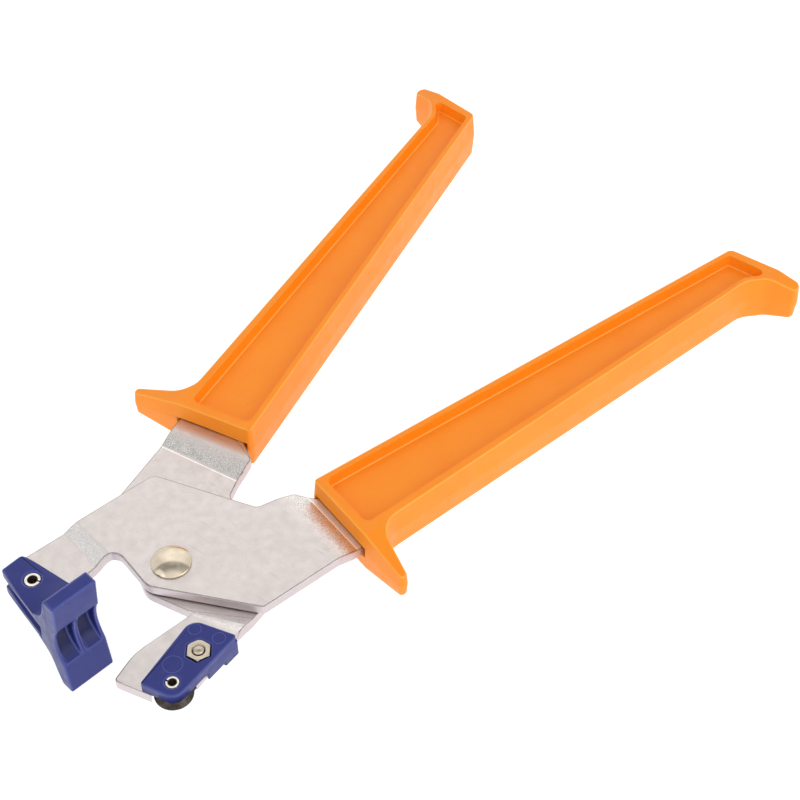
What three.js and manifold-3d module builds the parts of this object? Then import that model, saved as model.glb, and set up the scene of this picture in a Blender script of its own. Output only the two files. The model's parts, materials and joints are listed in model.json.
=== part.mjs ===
// Tile nippers: two crossed steel levers on one rivet, a swivelling breaker pad on one jaw and
// a scoring wheel in a clamped holder on the other. Millimetres, +Z up, +X along the handles.
import * as THREE from "three";
import { mergeVertices } from "three/addons/utils/BufferGeometryUtils.js";
import Module from "manifold-3d";

const wasm = await Module();
wasm.setup();

// ---- driving dimensions ------------------------------------------------------------------
const STEEL = 2.8;               // plate thickness
const PLATE_GAP = 0.3;           // air between the two plates at the rivet
const FIT = 0.15;                // clearance between a part and the part it sits on
const HALF_SPREAD = THREE.MathUtils.degToRad(14.16); // each handle's angle off the centre line

const BREAKER_FRONT = [37.2, 10.8];   // inner front corner of each handle: the cutter lever's
const CUTTER_FRONT = [38.9, 11.3];    // is fitted a little further back
const HANDLE_LENGTH = 135;
const HANDLE_HALF = 6.3;              // half the thickness of a handle at its front
const TAIL_SWELL = 1.09;              // how much thicker it is at its tail
const HANDLE_DRAFT = 0.5;             // how far the sides bulge at the parting line
const RECESS_DEPTH = 2.6;
const RECESS_DRAFT = 0.7;
const TANG_LENGTH = 100;

const RIVET_SHANK = 3.0;         // radii
const RIVET_HEAD = 4.75;
const RIVET_DOME = 1.9;

const PAD_PIN = [-24.1, 20.1];   // breaker pad pin, and the pad's own turn about it
const PAD_TURN = THREE.MathUtils.degToRad(-6.05);
const PAD_PIN_RADIUS = 1.9;
const PAD_PIN_BORE = 1.15;
const PAD_PIN_SLIT = THREE.MathUtils.degToRad(-65);
const PAD_HALF_HEIGHT = 15.9;
const PAD_HALF_WIDTH = 5.95;
const PAD_FACE = -18.3;          // front of the wings, seen from the pin
const CHEEK_TOP = 4.4;
const CHEEK_ROOT = -7.8;         // where the cheeks grow out of the wings
const CHEEK_SLOT = STEEL / 2 + 0.2;
const POCKET_HALF = 6.7;         // half the height of the hollow between the wings

const WHEEL_PIN = [-23.5, -23.7];
const WHEEL_PIN_RADIUS = 1.55;
const WHEEL_PIN_BORE = 0.97;
const WHEEL_PIN_SLIT = THREE.MathUtils.degToRad(111);
const WHEEL_RADIUS = 4.43;
const WHEEL_HALF_WIDTH = 1.1;
const WHEEL_NOTCH = 5.0;         // radius of the notch in the jaw plate
const HOLDER_TOP = 4.35;
const HOLDER_BOTTOM = -2.35;
const SCREW = [-14.0, -22.4];
const SCREW_RADIUS = 1.25;
const SCREW_HEAD = 2.4;
const NUT_FLATS = 5.0;           // across flats
const NUT_SEAT = 2.35;           // floor of the hexagonal recess
const NUT_HEIGHT = 2.1;
const NUT_TURN = THREE.MathUtils.degToRad(39.6);

const ARC_STEP = THREE.MathUtils.degToRad(12); // facet angle on round stretches

// ---- colours and finishes ----------------------------------------------------------------
const finish = (color, roughness, metalness) =>
  new THREE.MeshStandardMaterial({ color, roughness, metalness });
const ORANGE = () => finish(0xff8f2a, 0.45, 0.0);
const BLUE = () => finish(0x313d8c, 0.45, 0.0);
const PLATED = () => finish(0xd6cfca, 0.38, 1.0);
const NICKEL = () => finish(0xd9c9a3, 0.2, 1.0);
const CARBIDE = () => finish(0x5d564e, 0.35, 1.0);

// ---- solids ------------------------------------------------------------------------------
function toSolid(geometry) {
  const bare = geometry.clone();
  bare.deleteAttribute("normal");
  bare.deleteAttribute("uv");
  const merged = mergeVertices(bare, 1e-4);
  return new wasm.Manifold(new wasm.Mesh({
    numProp: 3,
    vertProperties: new Float32Array(merged.attributes.position.array),
    triVerts: new Uint32Array(merged.index.array),
  }));
}

function toGeometry(solid) {
  const mesh = solid.getMesh();
  const geometry = new THREE.BufferGeometry();
  geometry.setAttribute("position", new THREE.BufferAttribute(mesh.vertProperties, 3));
  geometry.setIndex(new THREE.BufferAttribute(mesh.triVerts, 1));
  geometry.computeVertexNormals();
  return geometry;
}

const joined = (first, ...others) => others.reduce((a, b) => a.add(b), first);
const without = (first, ...others) => others.reduce((a, b) => a.subtract(b), first);

// Corners [x, y, radius] become an outline whose corners are round.
function outline(corners) {
  const points = [];
  corners.forEach(([x, y, radius = 0], i) => {
    const corner = new THREE.Vector2(x, y);
    const [px, py] = corners[(i + corners.length - 1) % corners.length];
    const [nx, ny] = corners[(i + 1) % corners.length];
    const back = new THREE.Vector2(px, py).sub(corner).normalize();
    const ahead = new THREE.Vector2(nx, ny).sub(corner).normalize();
    const half = Math.acos(THREE.MathUtils.clamp(back.dot(ahead), -1, 1)) / 2;
    if (radius === 0 || half > Math.PI / 2 - 0.01) {
      points.push(corner);
      return;
    }
    const reach = radius / Math.tan(half);
    const toCentre = back.clone().add(ahead).normalize();
    const centre = corner.clone().addScaledVector(toCentre, radius / Math.sin(half));
    const start = corner.clone().addScaledVector(back, reach).sub(centre);
    const end = corner.clone().addScaledVector(ahead, reach).sub(centre);
    const sweep = Math.atan2(start.cross(end), start.dot(end));
    const steps = Math.max(1, Math.ceil(Math.abs(sweep) / ARC_STEP));
    for (let k = 0; k <= steps; k++) {
      const spoke = start.clone().rotateAround(new THREE.Vector2(), (sweep * k) / steps);
      points.push(spoke.add(centre));
    }
  });
  return points;
}

function prism(points, bottom, top) {
  const flat = new THREE.ExtrudeGeometry(new THREE.Shape(points), {
    depth: top - bottom, bevelEnabled: false,
  });
  return toSolid(flat.translate(0, 0, bottom));
}

// A prism whose walls lean: the outline holds at both ends, the middle is wider by draft.
function draftedPrism(points, bottom, top, draft) {
  const waist = 0.2;
  const flat = new THREE.ExtrudeGeometry(new THREE.Shape(points), {
    depth: waist, bevelThickness: (top - bottom - waist) / 2, bevelSize: draft,
    bevelSegments: 1,
  });
  return toSolid(flat.translate(0, 0, (top + bottom - waist) / 2));
}

// A profile drawn across the tool (points [y, z]) and drawn out along X.
function barAlongX(points, from, to) {
  const turned = points.map(([y, z]) => new THREE.Vector2(-z, y));
  const bar = new THREE.ExtrudeGeometry(new THREE.Shape(turned), {
    depth: to - from, bevelEnabled: false,
  });
  bar.translate(0, 0, from).rotateY(Math.PI / 2);
  return toSolid(bar);
}

const circle = (radius, steps = 30) => Array.from({ length: steps }, (_, i) => {
  const angle = (2 * Math.PI * i) / steps;
  return new THREE.Vector2(radius * Math.cos(angle), radius * Math.sin(angle));
});
const shifted = (points, [x, y]) => points.map((p) => new THREE.Vector2(p.x + x, p.y + y));
const post = (centre, radius, bottom, top, steps) =>
  prism(shifted(circle(radius, steps), centre), bottom, top);

// A solid of revolution about Z: profile [radius, z] from the axis back to the axis.
function turnedPart(profile, steps = 30) {
  const points = profile.map(([r, z]) => new THREE.Vector2(r, z));
  return toSolid(new THREE.LatheGeometry(points, steps).rotateX(Math.PI / 2));
}

function piece(name, solid, material, [x, y] = [0, 0]) {
  const mesh = new THREE.Mesh(toGeometry(solid), material);
  mesh.name = name;
  mesh.position.set(x, y, 0);
  return mesh;
}

// ---- lever plates ------------------------------------------------------------------------
// Both levers are drawn lying under the rivet plane, handle up and jaw down in plan. The
// breaker lever is turned over about X, so that it lies on top.

// A point given in a handle's own axes: u back along its inner edge, v outward.
function fromHandle([x, y], u, v) {
  const cos = Math.cos(HALF_SPREAD);
  const sin = Math.sin(HALF_SPREAD);
  return [x + u * cos - v * sin, y + u * sin + v * cos];
}

// Bend lines run across the plate; each joggle climbs between two of them.
const HANDLE_JOGGLE = [[[29.3, 5], [22.6, 45]], [[36.4, 5], [27.5, 45]]];
const CUTTER_JOGGLE = [[[-6.8, -9], [8.4, -34]], [[-7.8, -9], [-2.6, -34]]];
const BREAKER_JOGGLE = [[[-7.4, -9], [-4.2, -34]], [[-12.1, -9], [-8.1, -34]]];
const JOGGLE_STEPS = 5;
const LOW = -(STEEL + PLATE_GAP) / 2;   // middle of the plate at the rivet

// The inside of each bend is sharp and its outside is round, so the upper face leaves the
// low level at a crease, and the lower face reaches the high level at one.
function joggle([[lowA, lowB], [highA, highB]]) {
  const between = (a, b, t) => [a[0] + (b[0] - a[0]) * t, a[1] + (b[1] - a[1]) * t];
  const rounding = (t) => 1 - (1 - t) ** 1.3;
  return Array.from({ length: JOGGLE_STEPS + 1 }, (_, i) => {
    const t = i / JOGGLE_STEPS;
    return {
      a: between(lowA, highA, t),
      b: between(lowB, highB, t),
      over: LOW * (1 - rounding(t)),
      under: LOW * rounding(1 - t),
    };
  });
}

const flatStation = (a, b, z) => ({ a, b, over: z, under: z });

// A sheet bent along straight lines. Each station is one line across it, with the heights
// of its middle as its upper and its lower face follow it.
function foldedSheet(stations, thickness) {
  const positions = [];
  const index = [];
  for (const { a, b, over, under } of stations) {
    for (const height of [under - thickness / 2, over + thickness / 2]) {
      positions.push(a[0], a[1], height, b[0], b[1], height);
    }
  }
  const quad = (p, q, r, s) => index.push(p, q, r, p, r, s);
  const last = 4 * (stations.length - 1);
  for (let i = 0; i < last; i += 4) {
    quad(i, i + 4, i + 5, i + 1);         // under side
    quad(i + 2, i + 3, i + 7, i + 6);     // upper side
    quad(i, i + 2, i + 6, i + 4);         // edge a
    quad(i + 1, i + 5, i + 7, i + 3);     // edge b
  }
  quad(0, 1, 3, 2);
  quad(last, last + 2, last + 3, last + 1);
  const geometry = new THREE.BufferGeometry();
  geometry.setAttribute("position", new THREE.Float32BufferAttribute(positions, 3));
  geometry.setIndex(index);
  return toSolid(geometry);
}

function leverPlate(handleFront, waist, jawCorners, jawJoggle) {
  const sheet = foldedSheet([
    flatStation([-45, -9], [-45, -34], 0),
    ...joggle(jawJoggle).reverse(),
    flatStation([-20, 45], [12, -34], LOW),
    flatStation([10, 45], [30, -34], LOW),
    ...joggle(HANDLE_JOGGLE).map(({ a, b, ...heights }) => ({ a: b, b: a, ...heights })),
    flatStation([150, 90], [150, 5], 0),
  ], STEEL);
  const tang = [[1.5, 20.0, 1], [8, 18.2, 4], [TANG_LENGTH, 10.6, 3], [TANG_LENGTH, 3.4, 3],
    [0.6, 2.7, 1], [-4.1, -2.3, 1.6]];
  const shape = outline([
    [4.3, 24.9, 1.4],                     // outer corner, behind the mouth
    ...tang.map(([u, v, r]) => [...fromHandle(handleFront, u, v), r]),
    ...waist,                             // between the arm and the shoulder
    [16.0, -22.0, 3.0],                   // shoulder beside the rivet
    ...jawCorners,
    [-8.3, 0.5, 5.0],                     // belly of the arm, behind the rivet
  ]);
  return without(prism(shape, -5, 5).intersect(sheet),
    post([0, 0], RIVET_SHANK + FIT, -6, 6));
}

function cutterPlate() {
  const jaw = [[-1.5, -24.0, 8], [-26.1, -27.4, 0.5], [-30.2, -12.0, 0.9],
    [-22.3, -10.3, 12], [-5.4, -12.9, 0.7]];
  const waist = [[29.2, 6.9, 6.0], [24.6, 5.1, 2.0]];
  return without(leverPlate(CUTTER_FRONT, waist, jaw, CUTTER_JOGGLE),
    post(WHEEL_PIN, WHEEL_NOTCH, -3, 3),
    post(SCREW, SCREW_RADIUS + FIT, -3, 3, 20));
}

function breakerPlate() {
  const jaw = [[-20.3, -28.2, 1.6], [-26.2, -26.4, 2.5], [-28.6, -13.4, 1.5],
    [-5.3, -13.2, 2.9]];
  const [x, y] = PAD_PIN;
  return without(leverPlate(BREAKER_FRONT, [[24.6, 4.0, 2.0]], jaw, BREAKER_JOGGLE),
    post([x, -y], PAD_PIN_RADIUS + FIT, -3, 3, 24));
}

// ---- handles -----------------------------------------------------------------------------
// Drawn in the handle's own axes: u back along the inner edge, v outward.
function handle() {
  const body = draftedPrism(outline([
    [0, 0, 0.9],
    [HANDLE_LENGTH, 0, 1.8],
    [142.0, 20.1, 1.6],                   // hook at the tail
    [139.1, 20.4, 1.0],
    [135.4, 14.2, 6.0],
    [130.0, 11.4, 8.0],
    [5.0, 19.9, 6.5],                     // web behind the finger guard
    [2.5, 33.6, 0.7],
    [1.1, 33.6, 0.7],                     // tip of the finger guard
    [0.2, 20.8, 0],
  ]), -HANDLE_HALF, HANDLE_HALF, HANDLE_DRAFT);

  const recessFloor = outline([
    [3.0, 2.2, 1.2],
    [132.5, 2.2, 0.8],
    [135.6, 12.0, 0.7],
    [130.4, 9.4, 6.0],
    [3.4, 17.2, 1.0],
  ]);
  const recesses = [-1, 1].map((side) => {
    const ends = [HANDLE_HALF - RECESS_DEPTH, HANDLE_HALF + RECESS_DEPTH].map((z) => side * z);
    return draftedPrism(recessFloor, Math.min(...ends), Math.max(...ends), RECESS_DRAFT);
  });

  // The guard and the hook thin out towards their tips, above and below alike.
  const thinning = (startV, endV, endHalf, fromU, toU) => [-1, 1].map((side) => barAlongX([
    [startV, side * HANDLE_HALF], [endV, side * endHalf],
    [endV, side * (HANDLE_HALF + 2)], [startV, side * (HANDLE_HALF + 2)],
  ], fromU, toU));

  const mouth = prism(outline([[-3, 0.9], [5, 0.9, 1], [5, 21.0, 1], [-3, 21.0]]),
    -STEEL / 2 - 0.35, STEEL / 2 + 0.35);
  const pocket = prism(outline([[-3, 2.3], [TANG_LENGTH + 0.6, 2.9, 3.2],
    [TANG_LENGTH + 0.6, 11.2, 3.2], [8, 18.9, 4], [1.2, 20.8, 1], [-3, 20.8]]),
    -STEEL / 2 - FIT, STEEL / 2 + FIT);
  return without(body, ...recesses, ...thinning(20.5, 34.4, 3.3, -3, 14),
    ...thinning(13.4, 21.5, 4.3, 133, 145), mouth, pocket);
}

// Heights grow evenly from the front of the handle to its tail.
function swelled(geometry) {
  const at = geometry.attributes.position;
  for (let i = 0; i < at.count; i++) {
    const along = Math.max(0, at.getX(i) / HANDLE_LENGTH);
    at.setZ(i, at.getZ(i) * (1 + (TAIL_SWELL - 1) * along));
  }
  geometry.computeVertexNormals();
}

function placedHandle(name, front) {
  const mesh = piece(name, handle(), ORANGE(), front);
  swelled(mesh.geometry);
  mesh.rotation.z = HALF_SPREAD;
  return mesh;
}

// ---- rivet, pins and fasteners -----------------------------------------------------------
function domeProfile(base, radius, height, side) {
  const sphere = (radius * radius + height * height) / (2 * height);
  const widest = Math.asin(radius / sphere);
  return Array.from({ length: 7 }, (_, i) => {
    const angle = widest * (1 - i / 6);
    return [sphere * Math.sin(angle), base + side * (height - sphere * (1 - Math.cos(angle)))];
  });
}

function pivotRivet() {
  const seat = STEEL + PLATE_GAP / 2 + FIT / 2;
  const rim = 0.35;
  return turnedPart([
    ...domeProfile(-seat - rim, RIVET_HEAD, RIVET_DOME - 0.5, -1).reverse(),
    [RIVET_HEAD, -seat], [RIVET_SHANK, -seat], [RIVET_SHANK, seat], [RIVET_HEAD, seat],
    ...domeProfile(seat + rim, RIVET_HEAD, RIVET_DOME - rim, 1),
  ], 36);
}

// A rolled spring pin: a tube with one slit along it, in the direction slitAngle.
function springPin(radius, bore, bottom, top, slitAngle) {
  const half = 0.16;
  const [start, end] = [slitAngle, slitAngle + 2 * Math.PI];
  const wall = new THREE.Shape();
  wall.absarc(0, 0, radius, start + half / radius, end - half / radius, false);
  wall.absarc(0, 0, bore, end - half / bore, start + half / bore, true);
  const tube = new THREE.ExtrudeGeometry(wall, {
    depth: top - bottom, bevelEnabled: false, curveSegments: 14,
  });
  return toSolid(tube.translate(0, 0, bottom));
}

const hexagon = (flats) => circle(flats / Math.sqrt(3), 6)
  .map((p) => p.rotateAround(new THREE.Vector2(), NUT_TURN));

function holderNut() {
  const [bottom, top] = [NUT_SEAT + 0.1, NUT_SEAT + 0.1 + NUT_HEIGHT];
  const corner = NUT_FLATS / Math.sqrt(3);
  const chamfer = 0.35;
  const rounding = turnedPart([[0, bottom], [corner - chamfer, bottom],
    [corner + 0.02, bottom + chamfer * 0.6], [corner + 0.02, top - chamfer * 0.6],
    [corner - chamfer, top], [0, top]]);
  const thread = SCREW_RADIUS + 0.1;
  const hole = turnedPart([[0, bottom - 1], [thread + 1.3, bottom - 1], [thread, bottom + 0.3],
    [thread, top - 0.3], [thread + 1.3, top + 1], [0, top + 1]], 28);
  return without(prism(hexagon(NUT_FLATS), bottom, top).intersect(rounding), hole);
}

function holderScrew() {
  const head = HOLDER_BOTTOM - 0.1;
  const tip = NUT_SEAT + 0.1 + NUT_HEIGHT;
  const body = turnedPart([[0, head - 1.9], [1.5, head - 1.9], [SCREW_HEAD, head - 1.2],
    [SCREW_HEAD, head], [SCREW_RADIUS, head], ...domeProfile(tip, SCREW_RADIUS, 0.5, 1)], 24);
  const slot = prism(outline([[-0.4, -4], [0.4, -4], [0.4, 4], [-0.4, 4]]), head - 3, head - 1.1);
  return without(body, slot);
}

// ---- scoring wheel and its holder --------------------------------------------------------
function scoringWheel() {
  const flat = WHEEL_RADIUS - 1.35;
  const bore = WHEEL_PIN_RADIUS + FIT;
  const edge = 0.08;
  return turnedPart([[bore, -WHEEL_HALF_WIDTH], [flat, -WHEEL_HALF_WIDTH],
    [WHEEL_RADIUS, -edge], [WHEEL_RADIUS, edge], [flat, WHEEL_HALF_WIDTH],
    [bore, WHEEL_HALF_WIDTH], [bore, -WHEEL_HALF_WIDTH]], 40);
}

function wheelHolder() {
  const under = STEEL / 2 + 0.1;
  const cheek = prism(outline([[-28.3, -18.5, 0.7], [-26.2, -27.3, 3.0], [-5.6, -26.2, 0.8],
    [-9.0, -15.3, 3.2]]), under, HOLDER_TOP);
  const skirt = prism(outline([[-5.7, -26.2, 0.3], [-5.9, -24.95], [-15.7, -26.25],
    [-15.7, -26.75, 0.2]]), -STEEL / 2 + 0.5, under + 1);
  const hook = prism(outline([[-5.7, -26.2, 0.3], [-5.9, -24.95], [-10.2, -25.6],
    [-10.2, -26.42, 0.4]]), HOLDER_BOTTOM, under + 1);
  const [px, py] = WHEEL_PIN;
  const flange = joined(
    prism(outline([[-5.7, -26.2, 0.3], [-6.6, -21.5, 1.5], [-12.0, -18.6, 2.5],
      [px + 0.2, py + 2.35], [px + 0.2, py - 2.3], [-15.0, -25.0, 3], [-10.2, -24.4, 0.5],
      [-10.2, -26.42, 0.4]]), HOLDER_BOTTOM, -under),
    post(WHEEL_PIN, 2.4, HOLDER_BOTTOM, -under));
  return without(joined(cheek, skirt, hook, flange),
    post(WHEEL_PIN, WHEEL_PIN_RADIUS + 0.08, -5, 6, 28),
    post(SCREW, SCREW_RADIUS + FIT, -5, 6, 24),
    prism(shifted(hexagon(NUT_FLATS + 0.4), SCREW), NUT_SEAT, 6));
}

// ---- breaker pad -------------------------------------------------------------------------
// Drawn about its pin: the wings face -Y, the two cheeks reach +Y round the jaw plate.
function breakerPad() {
  const h = PAD_HALF_HEIGHT;
  const upper = [[PAD_FACE, h], [PAD_FACE + 3.7, h], [-13.2, 12.4], [-12.4, 9.8],
    [-11.3, 7.4], [-9.8, 5.6], [CHEEK_ROOT, CHEEK_TOP]];
  const lower = upper.map(([y, z]) => [y, -z]).reverse();
  const body = barAlongX([...lower, [PAD_FACE + 1.0, -POCKET_HALF], [PAD_FACE + 1.6, 0],
    [PAD_FACE + 1.0, POCKET_HALF], ...upper], -PAD_HALF_WIDTH, PAD_HALF_WIDTH);
  const [near, far] = [PAD_HALF_WIDTH, PAD_HALF_WIDTH - 0.5];
  const plan = prism(outline([[-near, PAD_FACE - 1], [near, PAD_FACE - 1],
    [near, PAD_FACE + 3.7], [far, CHEEK_ROOT], [-far, CHEEK_ROOT], [-near, PAD_FACE + 3.7]]),
    -h, h);
  const cheeks = prism(outline([[-PAD_HALF_WIDTH + 0.4, -9], [-3.5, 7.2, 0.7],
    [2.6, 7.5, 1.3], [PAD_HALF_WIDTH - 0.3, -9]]), -CHEEK_TOP, CHEEK_TOP);
  const slot = prism(outline([[-9, -9.7], [9, -9.7], [9, 9], [-9, 9]]),
    -CHEEK_SLOT, CHEEK_SLOT);

  // Hollows between the wings: one shallow scallop right across, and two deep pockets.
  const scallop = (depth, from, to) => {
    const radius = (POCKET_HALF ** 2 + depth ** 2) / (2 * depth);
    const centre = PAD_FACE + 1.0 + depth - radius;
    const sweep = Math.asin(POCKET_HALF / radius);
    const arc = Array.from({ length: 9 }, (_, i) => {
      const angle = sweep * (i / 4 - 1);
      return [centre + radius * Math.cos(angle), radius * Math.sin(angle)];
    });
    return barAlongX([[PAD_FACE - 2, POCKET_HALF], [PAD_FACE - 2, -POCKET_HALF], ...arc],
      from, to);
  };
  const rib = 0.75;
  return without(joined(body.intersect(plan), cheeks), slot, scallop(1.7, -9, 9),
    scallop(4.5, -PAD_HALF_WIDTH + 0.9, -rib), scallop(4.5, rib, PAD_HALF_WIDTH - 0.9),
    post([0, 0], PAD_PIN_RADIUS + 0.08, -6, 6, 28));
}

// ---- assembly ----------------------------------------------------------------------------
const cutterLever = new THREE.Group();
cutterLever.add(
  piece("cutter_plate", cutterPlate(), PLATED()),
  placedHandle("cutter_handle", CUTTER_FRONT),
  piece("wheel_holder", wheelHolder(), BLUE()),
  piece("holder_screw", holderScrew(), NICKEL(), SCREW),
  piece("holder_nut", holderNut(), NICKEL(), SCREW),
  piece("wheel_pin", springPin(WHEEL_PIN_RADIUS, WHEEL_PIN_BORE, HOLDER_BOTTOM + 0.1,
    HOLDER_TOP - 0.1, WHEEL_PIN_SLIT), NICKEL(), WHEEL_PIN),
  piece("scoring_wheel", scoringWheel(), CARBIDE(), WHEEL_PIN),
);

const breakerLever = new THREE.Group();
breakerLever.rotation.x = Math.PI;
breakerLever.add(
  piece("breaker_plate", breakerPlate(), PLATED()),
  placedHandle("breaker_handle", BREAKER_FRONT),
);

const pad = piece("breaker_pad", breakerPad(), BLUE(), PAD_PIN);
pad.rotation.z = PAD_TURN;

const tool = new THREE.Group();
tool.add(cutterLever, breakerLever, pad,
  piece("pad_pin", springPin(PAD_PIN_RADIUS, PAD_PIN_BORE, -CHEEK_TOP + 0.2, CHEEK_TOP - 0.2,
    PAD_PIN_SLIT), NICKEL(), PAD_PIN),
  piece("pivot_rivet", pivotRivet(), NICKEL()));

// The origin lies under the middle of the tool, level with its lowest point.
const box = new THREE.Box3().setFromObject(tool, true);
tool.position.set(-(box.min.x + box.max.x) / 2, -(box.min.y + box.max.y) / 2, -box.min.z);

const group = new THREE.Group();
group.add(tool);
export default group;
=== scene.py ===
"""Looks for the tile nippers: rounded edges, moulding marks and procedural materials on the
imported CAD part, on a pale floor under soft light. Lengths in millimetres are turned to metres
by MM."""

import json
import math

import bmesh
import bpy
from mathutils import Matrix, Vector


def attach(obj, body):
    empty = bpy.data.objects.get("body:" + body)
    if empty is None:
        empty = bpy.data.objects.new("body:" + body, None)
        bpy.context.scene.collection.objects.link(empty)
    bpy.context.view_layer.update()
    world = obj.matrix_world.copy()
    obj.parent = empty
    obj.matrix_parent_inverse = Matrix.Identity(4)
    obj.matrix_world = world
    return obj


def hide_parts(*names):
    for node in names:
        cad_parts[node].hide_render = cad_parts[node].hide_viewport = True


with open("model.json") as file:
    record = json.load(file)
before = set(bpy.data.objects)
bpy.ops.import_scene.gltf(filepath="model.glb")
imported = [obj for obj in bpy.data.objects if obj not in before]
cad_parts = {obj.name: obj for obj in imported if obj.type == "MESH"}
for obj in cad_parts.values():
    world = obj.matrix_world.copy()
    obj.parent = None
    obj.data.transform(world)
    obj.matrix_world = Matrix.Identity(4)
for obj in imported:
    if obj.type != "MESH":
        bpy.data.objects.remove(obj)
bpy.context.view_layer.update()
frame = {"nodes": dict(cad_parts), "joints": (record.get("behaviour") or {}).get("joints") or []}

MM = 0.001

# ---- places, from the frame --------------------------------------------------------------
JOINTS = {joint["name"]: joint for joint in frame["joints"]}
RIVET = Vector(JOINTS["pivot"]["pos_m"])
PAD_PIN = Vector(JOINTS["pad_swivel"]["pos_m"])
WHEEL_PIN = Vector(JOINTS["wheel_spin"]["pos_m"])
PAD_TURN = math.radians(-6.05)
HANDLE_SPREAD = math.radians(14.16)
HOLDER_TOP = 4.35      # heights above the middle of the plates, in millimetres
RECESS_FLOOR = 3.725
PAD_PIN_BORE = 1.15    # radii, in millimetres
WHEEL_PIN_BORE = 0.97
HANDLE_FRONTS = {"cutter_handle": (38.9, 11.3, 1), "breaker_handle": (37.2, -10.8, -1)}


def tool_point(x, y, z=0.0):
    """A place in millimetres from the rivet, +X towards the handles."""
    return RIVET + Vector((x, y, z)) * MM


def handle_point(handle, u, v, z):
    """A place along a handle's inner edge (u), outward from it (v) and up from its middle."""
    x, y, side = HANDLE_FRONTS[handle]
    cos, sin = math.cos(HANDLE_SPREAD), math.sin(HANDLE_SPREAD)
    return tool_point(x + u * cos - v * sin, y + side * (u * sin + v * cos), z)


# Creases where a plate's joggle meets its flat, and the side of the rivet each lies on.
CREASES = ((tool_point(29.3, 5), tool_point(22.6, 45), 1),
           (tool_point(36.4, -5), tool_point(27.5, -45), -1))


# ---- materials ---------------------------------------------------------------------------
class Surface:
    """A material whose node tree is built up step by step on object coordinates."""

    def __init__(self, name, **settings):
        self.material = bpy.data.materials.new(name)
        self.material.use_nodes = True
        self.tree = self.material.node_tree
        self.shader = self.tree.nodes["Principled BSDF"]
        for socket, value in settings.items():
            self.shader.inputs[socket.replace("_", " ")].default_value = value
        self.coords = self.tree.nodes.new("ShaderNodeTexCoord")
        self.bumps = None

    def add(self, kind, inputs=(), **settings):
        """A new node. An input is a number, or another node's output to link."""
        made = self.tree.nodes.new(kind)
        for key, value in settings.items():
            setattr(made, key, value)
        for key, value in dict(inputs).items():
            if isinstance(value, bpy.types.NodeSocket):
                self.tree.links.new(value, made.inputs[key])
            else:
                made.inputs[key].default_value = value
        return made

    def set(self, socket, value):
        """Links a node's output to one of the shader's sockets."""
        self.tree.links.new(value, self.shader.inputs[socket])

    def noise(self, scale, detail=3.0, roughness=0.55, stretch=(1, 1, 1)):
        """Noise with grains of 1/scale metre, drawn out by stretch."""
        spread = self.add("ShaderNodeMapping", {
            "Vector": self.coords.outputs["Object"],
            "Scale": [1 / s for s in stretch]})
        return self.add("ShaderNodeTexNoise", {
            "Vector": spread.outputs[0], "Scale": scale, "Detail": detail,
            "Roughness": roughness}).outputs["Fac"]

    def between(self, factor, low, high, start=0.0, end=1.0):
        """low where factor is start or less, high where it is end or more."""
        return self.add("ShaderNodeMapRange", {
            "Value": factor, "From Min": start, "From Max": end, "To Min": low,
            "To Max": high}).outputs[0]

    def mix(self, factor, first, second):
        """The colour first where factor is 0, second where it is 1."""
        mixed = self.add("ShaderNodeMix", {0: factor, 6: first, 7: second}, data_type="RGBA")
        return mixed.outputs[2]

    def bump(self, height, distance, strength):
        """Relief of a given depth in metres, on top of the bumps set before."""
        inputs = {"Height": height, "Distance": distance, "Strength": strength}
        if self.bumps:
            inputs["Normal"] = self.bumps
        self.bumps = self.add("ShaderNodeBump", inputs).outputs[0]
        self.set("Normal", self.bumps)

    def near_line(self, start, end, near, far):
        """1 within near of the upright plane through two places, 0 beyond far (metres)."""
        across = (end - start).cross(Vector((0, 0, 1))).normalized()
        offset = self.add("ShaderNodeVectorMath", {
            0: self.coords.outputs["Object"], 1: start}, operation="SUBTRACT")
        reach = self.add("ShaderNodeVectorMath", {0: offset.outputs[0], 1: across},
                         operation="DOT_PRODUCT")
        reach = self.add("ShaderNodeMath", {0: reach.outputs["Value"]}, operation="ABSOLUTE")
        return self.between(reach.outputs[0], 1.0, 0.0, near, far)

    def times(self, first, second):
        return self.add("ShaderNodeMath", {0: first, 1: second}, operation="MULTIPLY").outputs[0]

    def facing_up(self):
        """How far a surface's normal points along Z, up or down: 1 on flat faces."""
        parts = self.add("ShaderNodeSeparateXYZ", {0: self.coords.outputs["Normal"]})
        return self.add("ShaderNodeMath", {0: parts.outputs[2]},
                        operation="ABSOLUTE").outputs[0]


def pad_pockets(made):
    """Where painted shade goes: 1 down in the two pockets between the breaker pad's wings, 0
    elsewhere.
    """
    from_pin = made.add("ShaderNodeMapping", {
        "Vector": made.coords.outputs["Object"], "Location": PAD_PIN,
        "Rotation": (0, 0, PAD_TURN)}, vector_type="TEXTURE")
    place = made.add("ShaderNodeSeparateXYZ", {0: from_pin.outputs[0]})
    height = made.add("ShaderNodeMath", {0: place.outputs[2]}, operation="ABSOLUTE").outputs[0]
    across = made.add("ShaderNodeMath", {0: place.outputs[0]}, operation="ABSOLUTE").outputs[0]
    deep = made.times(made.between(place.outputs[1], 0.0, 1.0, -17.0 * MM, -13.4 * MM),
                      made.between(place.outputs[1], 1.0, 0.0, -12.0 * MM, -11.5 * MM))
    within = made.times(made.between(height, 1.0, 0.0, 6.4 * MM, 6.8 * MM),
                        made.between(across, 1.0, 0.0, 5.0 * MM, 5.3 * MM))
    return made.times(deep, within)


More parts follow.
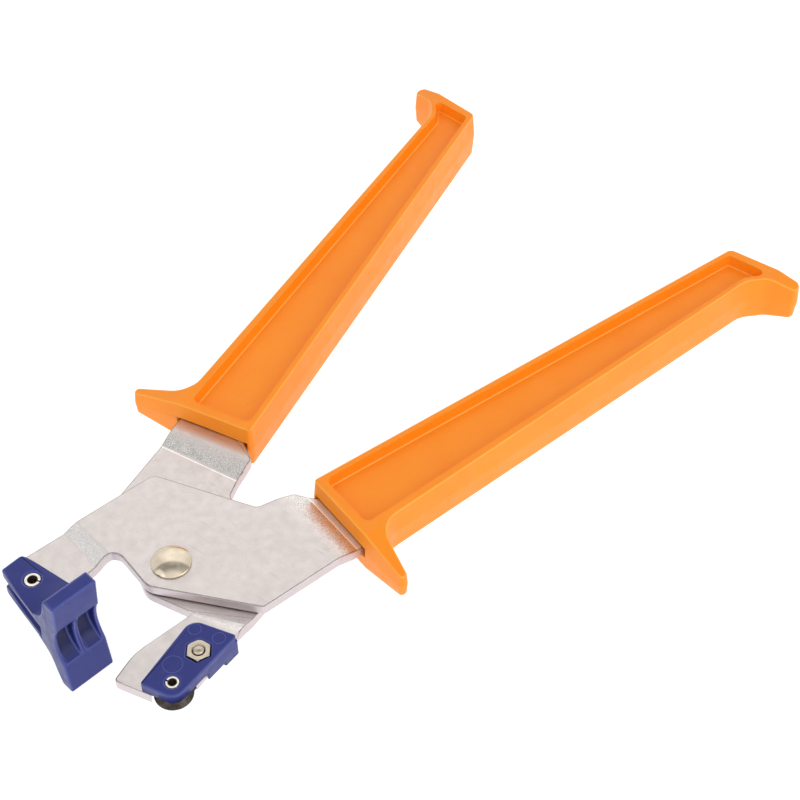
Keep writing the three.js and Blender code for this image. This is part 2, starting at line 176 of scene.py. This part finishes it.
def moulded_plastic(name, color, deep, light, roughness, shine, glow, shade=None):
    """Satin moulded plastic: faint cloudy colour, paler scuffs and a fine spark-eroded grain.
    Where shade gives a mask, painted shade darkens the colour there, speckled with dust.
    """
    made = Surface(name, Roughness=roughness, Specular_IOR_Level=shine)
    made.shader.inputs["Subsurface Weight"].default_value = glow
    made.shader.inputs["Subsurface Radius"].default_value = (1.0, 0.45, 0.2)
    made.shader.inputs["Subsurface Scale"].default_value = 1.6 * MM
    clouds = made.noise(60, detail=4)
    tone = made.mix(made.between(clouds, 0.0, 1.0, 0.3, 0.7), (*deep, 1), (*color, 1))
    scuffs = made.between(made.noise(900, detail=5, roughness=0.75), 0.0, 0.5, 0.60, 0.78)
    tone = made.mix(scuffs, tone, (*light, 1))
    if shade:
        # Painted shade: the masked hollows are darkened towards a third of the deep colour, its
        # strength broken up by dusty specks.
        shade_and_dust = made.between(made.noise(1500, detail=4, roughness=0.8), 0.75, 1.0, 0.35, 0.7)
        dark = tuple(0.3 * c for c in deep)
        tone = made.mix(made.times(shade(made), shade_and_dust), tone, (*dark, 1))
    made.set("Base Color", tone)
    made.set("Roughness", made.between(made.noise(260), roughness - 0.07, roughness + 0.09,
                                       0.3, 0.7))
    made.bump(made.noise(4200, detail=2), 0.006 * MM, 0.35)
    made.bump(made.noise(320, detail=3), 0.02 * MM, 0.3)
    return made.material


def plated_face(made, up):
    """Matte zinc plating with specks and scratches, with painted glints in a bright grain on the
    joggles' slopes and a painted highlight line along their creases."""
    clouds = made.noise(110, detail=5)
    face = made.mix(made.between(clouds, 0.0, 1.0, 0.3, 0.7),
                    (0.665, 0.610, 0.592, 1), (0.705, 0.650, 0.632, 1))
    fine = made.between(made.noise(3400, detail=2, roughness=0.85), 0.0, 1.0, 0.38, 0.62)
    face = made.mix(made.between(fine, 0.0, 0.12), face, (1, 1, 1, 1))
    specks = made.between(made.noise(2300, detail=2, roughness=0.8), 0.0, 0.3, 0.66, 0.73)
    face = made.mix(specks, face, (0.45, 0.42, 0.40, 1))

    # Painted glints: the joggles' slopes, picked out by how far their normals tilt, get a bright
    # grain standing in for light glancing off them, coarser towards the handles.
    slope = made.times(made.between(up, 1.0, 0.0, 0.955, 0.995),
                       made.between(up, 0.0, 1.0, 0.7, 0.85))
    grain = made.between(made.noise(4200, detail=1, roughness=0.9), 0.0, 1.0, 0.42, 0.56)
    coarse = made.mix(grain, (0.50, 0.49, 0.48, 1), (1.0, 0.98, 0.96, 1))
    faint = made.mix(grain, (0.76, 0.73, 0.72, 1), (1.0, 0.98, 0.97, 1))
    place = made.add("ShaderNodeSeparateXYZ", {0: made.coords.outputs["Object"]})
    at_handle = made.between(place.outputs[0], 0.0, 1.0, RIVET.x, RIVET.x + 15 * MM)
    face = made.mix(slope, face, made.mix(at_handle, faint, coarse))

    scratches = made.noise(1500, detail=2, roughness=0.4, stretch=(1, 11, 1))
    face = made.mix(made.between(scratches, 0.0, 0.25, 0.68, 0.71), face, (0.45, 0.42, 0.41, 1))
    # Painted highlight: a thin bright line along each crease, on its own lever's side.
    for start, end, side in CREASES:
        crease = made.near_line(start, end, 0.08 * MM, 0.2 * MM)
        this_lever = made.between(place.outputs[1], 0.0, 1.0, RIVET.y + side * 2 * MM,
                                  RIVET.y + side * 4 * MM)
        face = made.mix(made.times(crease, this_lever), face, (1, 0.98, 0.97, 1))
    return face


def shaded_plated_rim(made):
    """The rolled-over rim of the stamping, darker where it leaves the face: painted shade along
    the rounded edge.
    """
    return made.mix(made.between(made.noise(900, detail=3), 0.0, 0.5, 0.3, 0.7),
                    (0.34, 0.31, 0.30, 1), (0.62, 0.58, 0.56, 1))


def plated_sheet(name, rim=False):
    """A plated stamping: its faces, or their rims with painted shade, with pinkish sheared sides.
    """
    made = Surface(name, Metallic=1.0, Roughness=0.4)
    up = made.facing_up()
    face = shaded_plated_rim(made) if rim else plated_face(made, up)
    upright, slanting = (0.5, 0.7) if rim else (0.25, 0.6)
    side = made.between(up, 1.0, 0.0, upright, slanting)
    made.set("Base Color", made.mix(side, face, (0.68, 0.61, 0.625, 1)))
    made.set("Roughness", made.between(made.noise(420, detail=4), 0.36, 0.48, 0.35, 0.65))
    made.bump(made.noise(2400, detail=3, roughness=0.75), 0.02 * MM, 0.22)
    made.bump(made.noise(260, detail=2), 0.03 * MM, 0.25)
    shear = made.times(made.noise(1500, detail=3, stretch=(1, 1, 14)), side)
    made.bump(shear, 0.05 * MM, 0.5)
    return made.material


def bright_metal(name, color, roughness, scratch, size=900):
    """Nickel-plated steel with small dents and hairline scratches."""
    made = Surface(name, Metallic=1.0, Roughness=roughness)
    patches = made.noise(size / 2, detail=4)
    dark = tuple(c * 0.86 for c in color)
    made.set("Base Color", made.mix(made.between(patches, 0.0, 1.0, 0.35, 0.65),
                                    (*dark, 1), (*color, 1)))
    made.set("Roughness", made.between(made.noise(size, detail=4), roughness * 0.7,
                                       roughness * 1.5, 0.35, 0.65))
    made.bump(made.noise(size, detail=4), 0.03 * MM, scratch)
    made.bump(made.noise(size * 3, detail=2, stretch=(9, 1, 1)), 0.008 * MM, scratch)
    return made.material


def distance_from(made, axis):
    """How far, in metres, a place is from an upright axis."""
    local = made.add("ShaderNodeVectorMath", {
        0: made.coords.outputs["Object"], 1: axis}, operation="SUBTRACT")
    flat = made.add("ShaderNodeVectorMath", {0: local.outputs[0], 1: (1, 1, 0)},
                    operation="MULTIPLY")
    return made.add("ShaderNodeVectorMath", {0: flat.outputs[0]},
                    operation="LENGTH").outputs["Value"]


def pin_metal(name, axis, bore):
    """Bright rolled steel, with painted shade inside its bore: near black, dull and not metallic.
    """
    made = Surface(name, Metallic=1.0, Roughness=0.25)
    reach = distance_from(made, axis)
    inside = made.between(reach, 1.0, 0.0, (bore + 0.02) * MM, (bore + 0.14) * MM)
    bright = made.mix(made.between(made.noise(800, detail=4), 0.0, 1.0, 0.35, 0.65),
                      (0.66, 0.62, 0.54, 1), (0.86, 0.83, 0.76, 1))
    # Painted shade: inside the bore the colour goes near black.
    made.set("Base Color", made.mix(inside, bright, (0.035, 0.022, 0.008, 1)))
    made.set("Metallic", made.between(inside, 1.0, 0.0))
    made.set("Roughness", made.between(inside, 0.22, 0.7))
    made.bump(made.noise(900, detail=4), 0.03 * MM, 0.4)
    return made.material


def ground_carbide(name):
    """Dark ground metal with fine rings about the wheel's own axis."""
    made = Surface(name, Metallic=1.0, Roughness=0.3)
    rings = made.add("ShaderNodeTexNoise", {
        "W": distance_from(made, WHEEL_PIN), "Scale": 9000.0, "Detail": 3.0},
        noise_dimensions="1D")
    made.set("Base Color", made.mix(made.between(made.noise(900), 0.0, 1.0, 0.3, 0.7),
                                    (0.035, 0.030, 0.028, 1), (0.10, 0.085, 0.075, 1)))
    made.set("Roughness", made.between(rings.outputs["Fac"], 0.2, 0.38, 0.3, 0.7))
    made.bump(rings.outputs["Fac"], 0.02 * MM, 0.5)
    return made.material


ORANGE = moulded_plastic("orange_plastic", (1.0, 0.292, 0.006), (0.98, 0.268, 0.004),
                         (1.0, 0.42, 0.07), 0.42, 0.34, 0.10)
# Lighter copies of the plastics for the rounded edges: painted highlights.
ORANGE_EDGE_HIGHLIGHT = moulded_plastic("orange_plastic_edge_highlight", (1.0, 0.41, 0.05), (1.0, 0.375, 0.035),
                              (1.0, 0.50, 0.12), 0.36, 0.40, 0.10)
BLUE = moulded_plastic("blue_plastic", (0.022, 0.032, 0.215), (0.017, 0.026, 0.185),
                       (0.06, 0.09, 0.34), 0.36, 0.34, 0.0)
# The pad's copy has painted shade down in its pockets.
BLUE_PAD_SHADED = moulded_plastic("blue_plastic_pad_shaded", (0.022, 0.032, 0.215), (0.017, 0.026, 0.185),
                           (0.06, 0.09, 0.34), 0.36, 0.34, 0.0, pad_pockets)
BLUE_EDGE_HIGHLIGHT = moulded_plastic("blue_plastic_edge_highlight", (0.045, 0.062, 0.30), (0.035, 0.050, 0.26),
                            (0.10, 0.13, 0.42), 0.28, 0.50, 0.0)
BLUE_MARK_HIGHLIGHT = moulded_plastic("blue_plastic_mark_highlight", (0.13, 0.16, 0.45), (0.10, 0.13, 0.40),
                            (0.16, 0.20, 0.5), 0.35, 0.5, 0.0)
PLATED = plated_sheet("plated_steel")
# The rims' copy: painted shade along the plates' rounded edges.
PLATED_RIM_SHADE = plated_sheet("plated_steel_rim_shade", rim=True)
NICKEL = bright_metal("nickel_steel", (0.80, 0.70, 0.55), 0.14, 0.2)
NUT_STEEL = bright_metal("nut_steel", (0.62, 0.55, 0.45), 0.30, 0.4, 1400)
PAD_PIN_STEEL = pin_metal("pad_pin_steel", PAD_PIN, PAD_PIN_BORE)
WHEEL_PIN_STEEL = pin_metal("wheel_pin_steel", WHEEL_PIN, WHEEL_PIN_BORE)
CARBIDE = ground_carbide("cutting_wheel")


# ---- rounded copies of the CAD nodes -----------------------------------------------------
WELD = 2e-6            # corners nearer than this are one, in metres
SLIVER = 1e-9          # faces smaller than this are left alone, in square metres
SAME_PLANE = math.radians(0.6)
STRAIGHT_ON = 0.03     # turns between one sharp edge and the next, in radians
TIGHT_TURN = 0.9


def mark_rounding(work, width, limit, above, adapt, least):
    """Gives each sharp edge above a height a bevel weight. With adapt it is smaller where a tight
    corner or a short neighbour leaves no room for the full width, and 0 below least."""
    weights = work.edges.layers.float.new("bevel_weight_edge")
    sharp = {edge for edge in work.edges
             if len(edge.link_faces) == 2 and edge.calc_face_angle(0) > limit
             and min(face.calc_area() for face in edge.link_faces) > SLIVER}
    if above is not None:
        sharp = {edge for edge in sharp if min(vert.co.z for vert in edge.verts) > above}
    for edge in sharp:
        room = width
        for vert in edge.verts if adapt else ():
            mine = edge.other_vert(vert).co - vert.co
            others = [other for other in vert.link_edges if other is not edge]
            ahead = [other for other in others if other in sharp]
            for other in others:
                if other not in ahead:
                    room = min(room, 0.45 * other.calc_length())
            for other in ahead:
                theirs = other.other_vert(vert).co - vert.co
                turn = math.pi - mine.angle(theirs, math.pi)
                shorter = min(mine.length, theirs.length)
                if len(ahead) > 1 or turn > TIGHT_TURN:
                    room = min(room, 0.4 * shorter)
                elif turn > STRAIGHT_ON:
                    room = min(room, 0.8 * shorter / (2 * math.tan(turn / 2)))
        edge[weights] = room / width if room > least * width else 0


def refined(name, body, material, width, segments=3, angle=26, edge_material=None,
            above=None, adapt=True, least=0.15):
    """A copy of a CAD node whose edges sharper than angle are rounded over width, shown in place
    of the node. The rounding can have a material of its own."""
    mesh = frame["nodes"][name].data.copy()
    mesh.name = name + "_detailed"
    work = bmesh.new()
    work.from_mesh(mesh)
    bmesh.ops.remove_doubles(work, verts=work.verts, dist=WELD)
    bmesh.ops.dissolve_limit(work, angle_limit=SAME_PLANE, verts=work.verts, edges=work.edges)
    mark_rounding(work, width * MM, math.radians(angle), above, adapt, least)
    for face in work.faces:
        face.smooth = True
    work.to_mesh(mesh)
    work.free()
    mesh.materials.clear()
    mesh.materials.append(material)
    if edge_material:
        mesh.materials.append(edge_material)
    piece = bpy.data.objects.new(name + "_detailed", mesh)
    bpy.context.scene.collection.objects.link(piece)
    bevel = piece.modifiers.new("round_edges", "BEVEL")
    bevel.limit_method = "WEIGHT"
    bevel.width = width * MM
    bevel.segments = segments
    bevel.use_clamp_overlap = False
    bevel.material = 1 if edge_material else -1
    bevel.harden_normals = True
    bevel.miter_outer = "MITER_SHARP"
    weighted = piece.modifiers.new("flat_faces_stay_flat", "WEIGHTED_NORMAL")
    weighted.keep_sharp = True
    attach(piece, body)
    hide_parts(name)


# The plastics' roundings take their lighter copies, painted highlights; the plates' take the
# darker rim, painted shade.
for lever, plate, handle in (("breaker_lever", "breaker_plate", "breaker_handle"),
                             ("cutter_lever", "cutter_plate", "cutter_handle")):
    turned_over = lever == "cutter_lever"
    refined(plate, lever, PLATED, 0.35, 4, 50 if turned_over else 40,
            PLATED_RIM_SHADE, adapt=turned_over)
    refined(handle, lever, ORANGE, 0.3, 4, 40, ORANGE_EDGE_HIGHLIGHT, least=0.3)
refined("breaker_pad", "pad", BLUE_PAD_SHADED, 0.55, 4, 30, BLUE_EDGE_HIGHLIGHT)
refined("wheel_holder", "cutter_lever", BLUE, 0.35, 4, 40, BLUE_EDGE_HIGHLIGHT,
        above=tool_point(0, 0, HOLDER_TOP - 0.02).z)
for metal_part, lever, material, width in (
        ("pivot_rivet", "breaker_lever", NICKEL, 0.15),
        ("pad_pin", "breaker_lever", PAD_PIN_STEEL, 0.12),
        ("wheel_pin", "cutter_lever", WHEEL_PIN_STEEL, 0.12),
        ("holder_screw", "cutter_lever", NUT_STEEL, 0.08),
        ("holder_nut", "cutter_lever", NUT_STEEL, 0.08)):
    refined(metal_part, lever, material, width)
refined("scoring_wheel", "wheel", CARBIDE, 0.04)


# ---- marks left by the mould -------------------------------------------------------------
def ring_marks(name, body, material, rings):
    """Low raised circles (centre, radius in millimetres) where ejector pins met the plastic."""
    steps = 56
    ridge = ((-0.07, -0.02), (0.0, 0.035), (0.07, -0.02))  # across and up
    work = bmesh.new()
    for centre, radius in rings:
        loops = []
        for step in range(steps):
            angle = 2 * math.pi * step / steps
            out = Vector((math.cos(angle), math.sin(angle), 0))
            loops.append([work.verts.new(centre + (out * (radius + across)
                                                   + Vector((0, 0, up))) * MM)
                          for across, up in ridge])
        for step, here in enumerate(loops):
            ahead = loops[(step + 1) % steps]
            for corner in range(len(ridge)):
                beside = (corner + 1) % len(ridge)
                work.faces.new((here[corner], ahead[corner], ahead[beside], here[beside]))
    bmesh.ops.recalc_face_normals(work, faces=work.faces)
    for face in work.faces:
        face.smooth = True
    mesh = bpy.data.meshes.new(name)
    work.to_mesh(mesh)
    work.free()
    mesh.materials.append(material)
    piece = bpy.data.objects.new(name, mesh)
    bpy.context.scene.collection.objects.link(piece)
    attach(piece, body)


# The rings take lighter copies of the plastic: painted highlights along their ridges.
ring_marks("holder_mould_marks", "cutter_lever", BLUE_MARK_HIGHLIGHT, [
    (tool_point(-10.5, -17.8, HOLDER_TOP), 1.45),
    (tool_point(-8.8, -23.6, HOLDER_TOP), 1.45),
    (tool_point(-20.2, -20.6, HOLDER_TOP), 2.2)])
ring_marks("handle_mould_marks", "cutter_lever", ORANGE_EDGE_HIGHLIGHT, [
    (handle_point("cutter_handle", 10.2, 8.3, RECESS_FLOOR), 2.3),
    (handle_point("cutter_handle", 9.2, 11.2, RECESS_FLOOR), 0.2)])


# ---- floor, light and camera -------------------------------------------------------------
FLOOR_HALF = 8.0


def studio_floor():
    """A wide pale floor that glows a little."""
    work = bmesh.new()
    bmesh.ops.create_grid(work, x_segments=8, y_segments=8, size=FLOOR_HALF)
    mesh = bpy.data.meshes.new("floor")
    work.to_mesh(mesh)
    work.free()
    floor = bpy.data.objects.new("floor", mesh)
    bpy.context.scene.collection.objects.link(floor)
    pale = Surface("floor", Roughness=0.9)
    pale.shader.inputs["Base Color"].default_value = (0.32, 0.32, 0.32, 1)
    pale.shader.inputs["Emission Color"].default_value = (1, 1, 1, 1)
    pale.shader.inputs["Emission Strength"].default_value = 0.86
    pale.set("Roughness", pale.between(pale.noise(40), 0.85, 0.95))
    mesh.materials.append(pale.material)


def direction(azimuth, elevation):
    """A unit vector from two angles in degrees."""
    around, up = math.radians(azimuth), math.radians(elevation)
    return Vector((math.cos(around) * math.cos(up), math.sin(around) * math.cos(up),
                   math.sin(up)))


def soft_light(name, azimuth, elevation, distance, size, power):
    """A round soft lamp that faces the origin from a distance, along two angles in degrees."""
    light = bpy.data.lights.new(name, "AREA")
    light.shape = "DISK"
    light.size = size
    light.energy = power
    lamp = bpy.data.objects.new(name, light)
    way = direction(azimuth, elevation)
    lamp.location = way * distance
    lamp.rotation_euler = way.to_track_quat("Z", "Y").to_euler()
    bpy.context.scene.collection.objects.link(lamp)


BEHIND_AND_BELOW = Vector((0.606, 0.606, -0.516))


def studio_air(base, patches, dark):
    """Light from all round. Each patch (azimuth, elevation, inner, outer, amount) brightens the
    sky about one direction, fading between two angles from it. Overhead it is darker by dark,
    with a crisp edge behind the tool and a soft one in front."""
    world = bpy.data.worlds.new("studio")
    world.use_nodes = True
    tree = world.node_tree
    background = tree.nodes["Background"]
    coords = tree.nodes.new("ShaderNodeTexCoord")

    def towards(way):
        facing = tree.nodes.new("ShaderNodeVectorMath")
        facing.operation = "DOT_PRODUCT"
        tree.links.new(coords.outputs["Generated"], facing.inputs[0])
        facing.inputs[1].default_value = way
        return facing.outputs["Value"]

    def fade(value, start, end, low, high):
        ramp = tree.nodes.new("ShaderNodeMapRange")
        ramp.interpolation_type = "SMOOTHSTEP"
        tree.links.new(value, ramp.inputs["Value"])
        for socket, number in (("From Min", start), ("From Max", end), ("To Min", low),
                               ("To Max", high)):
            ramp.inputs[socket].default_value = number
        return ramp.outputs[0]

    def combined(operation, first, second):
        joined = tree.nodes.new("ShaderNodeMath")
        joined.operation = operation
        tree.links.new(first, joined.inputs[0])
        tree.links.new(second, joined.inputs[1])
        return joined.outputs[0]

    overhead = towards(BEHIND_AND_BELOW)
    total = combined("MULTIPLY", fade(overhead, -0.10, -0.20, 0.0, 1.0),
                     fade(overhead, -0.85, -0.45, 0.0, 1.0))
    total = fade(total, 0.0, 1.0, base, base - dark)
    for azimuth, elevation, inner, outer, amount in patches:
        nearness = towards(direction(azimuth, elevation))
        total = combined("ADD", total, fade(nearness, math.cos(math.radians(outer)),
                                            math.cos(math.radians(inner)), 0.0, amount))
    tree.links.new(total, background.inputs[1])
    background.inputs[0].default_value = (1.0, 0.99, 0.975, 1)
    bpy.context.scene.world = world


CAMERA_PLACE = (-151.4, -193.2, 320.1)  # millimetres from the rivet
CAMERA_TARGET = (69.5, -10.6, 7.0)
CAMERA_LENS = 77.67


def camera():
    """A camera above the jaws, looking along the tool."""
    data = bpy.data.cameras.new("camera")
    data.sensor_width = 36
    data.lens = CAMERA_LENS
    data.clip_start = 0.01
    seen_from = bpy.data.objects.new("camera", data)
    seen_from.location = tool_point(*CAMERA_PLACE)
    way = tool_point(*CAMERA_TARGET) - seen_from.location
    seen_from.rotation_euler = way.to_track_quat("-Z", "Y").to_euler()
    bpy.context.scene.collection.objects.link(seen_from)
    bpy.context.scene.camera = seen_from


studio_floor()
studio_air(0.88, [(40, 42, 12, 45, 0.35), (-100, 20, 20, 70, 0.3)], 0.5)
soft_light("key", -74, 30, 1.1, 0.8, 2.0)
soft_light("fill", 160, 35, 1.0, 0.8, 1.1)
camera()
bpy.context.scene.view_settings.view_transform = "Standard"
